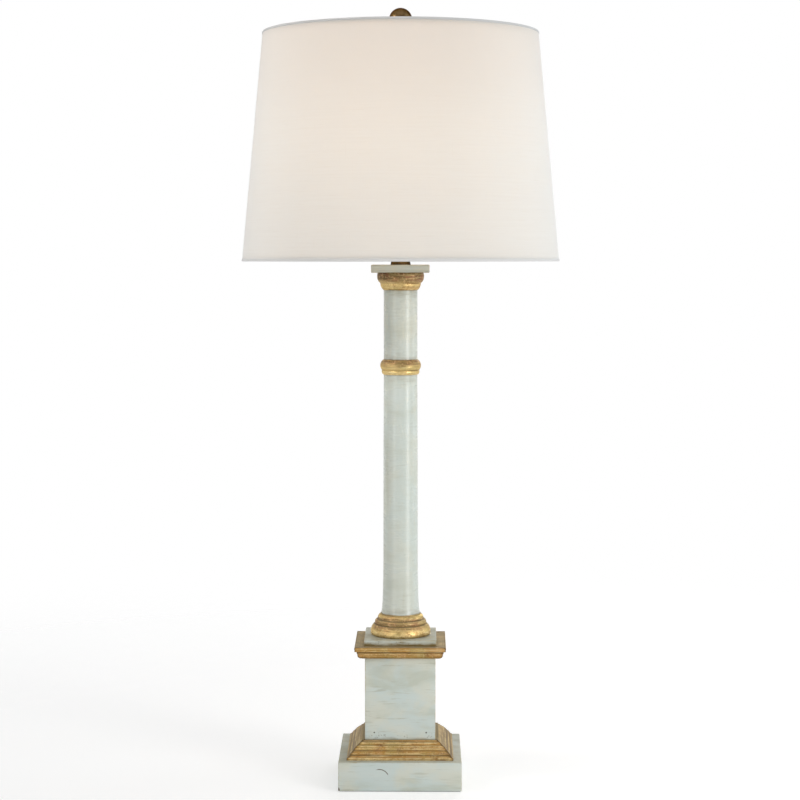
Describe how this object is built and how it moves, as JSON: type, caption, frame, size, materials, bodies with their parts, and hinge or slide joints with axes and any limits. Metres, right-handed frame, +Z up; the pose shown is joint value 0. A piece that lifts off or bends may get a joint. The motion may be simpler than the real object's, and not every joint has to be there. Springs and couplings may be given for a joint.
{
  "type": "table lamp",
  "caption": "Column table lamp: square pedestal, turned gilded rings on a painted shaft, tapered linen drum shade on a harp with a ball finial.",
  "frame": {"origin": "middle of the felt's underside, on the surface that the lamp stands on", "axes": "+Z up the column, -Y the front with the switch knob, +Y the back with the lead's inlet, +X to the right"},
  "size_m": [0.3786, 0.3786, 0.9249],
  "materials": {
    "felt": "green-black wool felt",
    "painted_wood": "pale grey-green paint brushed on wood, antiqued with an olive-brown glaze",
    "gilded_wood": "gold leaf over red-brown clay, rubbed through on the edges",
    "iron": "rough casting",
    "black_plastic": "black moulded sleeve",
    "zinc_steel": "zinc plated",
    "antique_brass": "dark antiqued brass",
    "brass": "plain brass, lacquered",
    "paper_liner": "grey-brown insulating card",
    "moulded_black": "black moulded plastic",
    "aluminium": "rolled thread",
    "solder": "soldered tip",
    "frosted_glass": "inside-frosted, lit",
    "white_wire": "white coated wire",
    "styrene": "translucent white backing sheet",
    "linen": "pale natural linen, slubbed plain weave",
    "linen_trim": "the same linen, folded double"
  },
  "bodies": {
    "lamp_base": {"felt_pad": "felt", "base_plinth": "painted_wood", "pedestal_front": "painted_wood", "pedestal_right": "painted_wood", "pedestal_back": "painted_wood", "pedestal_left": "painted_wood", "pedestal_top": "painted_wood", "plinth_block": "painted_wood", "lower_shaft": "painted_wood", "upper_shaft": "painted_wood", "abacus": "painted_wood", "base_moulding_front": "gilded_wood", "base_moulding_right": "gilded_wood", "base_moulding_back": "gilded_wood", "base_moulding_left": "gilded_wood", "cornice_front": "gilded_wood", "cornice_right": "gilded_wood", "cornice_back": "gilded_wood", "cornice_left": "gilded_wood", "column_base": "gilded_wood", "shaft_collar": "gilded_wood", "capital": "gilded_wood", "ballast_weight": "iron", "cord_bushing": "black_plastic", "lamp_pipe": "zinc_steel", "base_washer": "zinc_steel", "lock_washer": "zinc_steel", "base_nut": "zinc_steel", "pedestal_brads": "zinc_steel", "cap_set_screw": "zinc_steel", "terminal_screws": "zinc_steel", "neck_cap": "antique_brass", "harp_saddle": "brass", "harp_wire": "brass", "socket_cap": "brass", "socket_shell": "brass", "socket_contact": "brass", "socket_insulator": "paper_liner", "socket_interior": "moulded_black", "socket_screw_shell": "aluminium"},
    "switch": {"switch_spindle": "brass", "switch_knob": "moulded_black"},
    "bulb": {"bulb_glass": "frosted_glass", "bulb_cap": "aluminium", "bulb_contact": "solder"},
    "sleeve_left": {"harp_sleeve_left": "brass"},
    "sleeve_right": {"harp_sleeve_right": "brass"},
    "stud": {"harp_stud": "brass"},
    "shade": {"spider_washer": "brass", "spider_arm_1": "brass", "spider_arm_2": "brass", "spider_arm_3": "brass", "shade_top_ring": "white_wire", "shade_bottom_ring": "white_wire", "shade_liner": "styrene", "shade_fabric": "linen", "shade_top_trim": "linen_trim", "shade_bottom_trim": "linen_trim"},
    "ball_finial": {"finial": "antique_brass"}
  },
  "joints": [
    {"name": "switch_knob_turn", "type": "hinge", "parent": "lamp_base", "child": "switch", "pos_m": [0, -0.026, 0.6632], "axis": [0, -1, 0], "continuous": true},
    {"name": "bulb_withdraw", "type": "slide", "parent": "lamp_base", "child": "bulb", "axis": [0, 0, 1], "range_m": [0, 0.03]},
    {"name": "sleeve_left_slide", "type": "slide", "parent": "lamp_base", "child": "sleeve_left", "axis": [0, 0, 1], "range_m": [0, 0.012]},
    {"name": "sleeve_right_slide", "type": "slide", "parent": "lamp_base", "child": "sleeve_right", "axis": [0, 0, 1], "range_m": [0, 0.012]},
    {"name": "shade_turn", "type": "hinge", "parent": "lamp_base", "child": "stud", "pos_m": [0, 0, 0.881], "axis": [0, 0, 1], "continuous": true},
    {"name": "shade_lift", "type": "slide", "parent": "stud", "child": "shade", "axis": [0, 0, 1], "range_m": [0, 0.28]},
    {"name": "finial_turn", "type": "hinge", "parent": "shade", "child": "ball_finial", "pos_m": [0, 0, 0.9119], "axis": [0, 0, 1], "continuous": true}
  ]
}
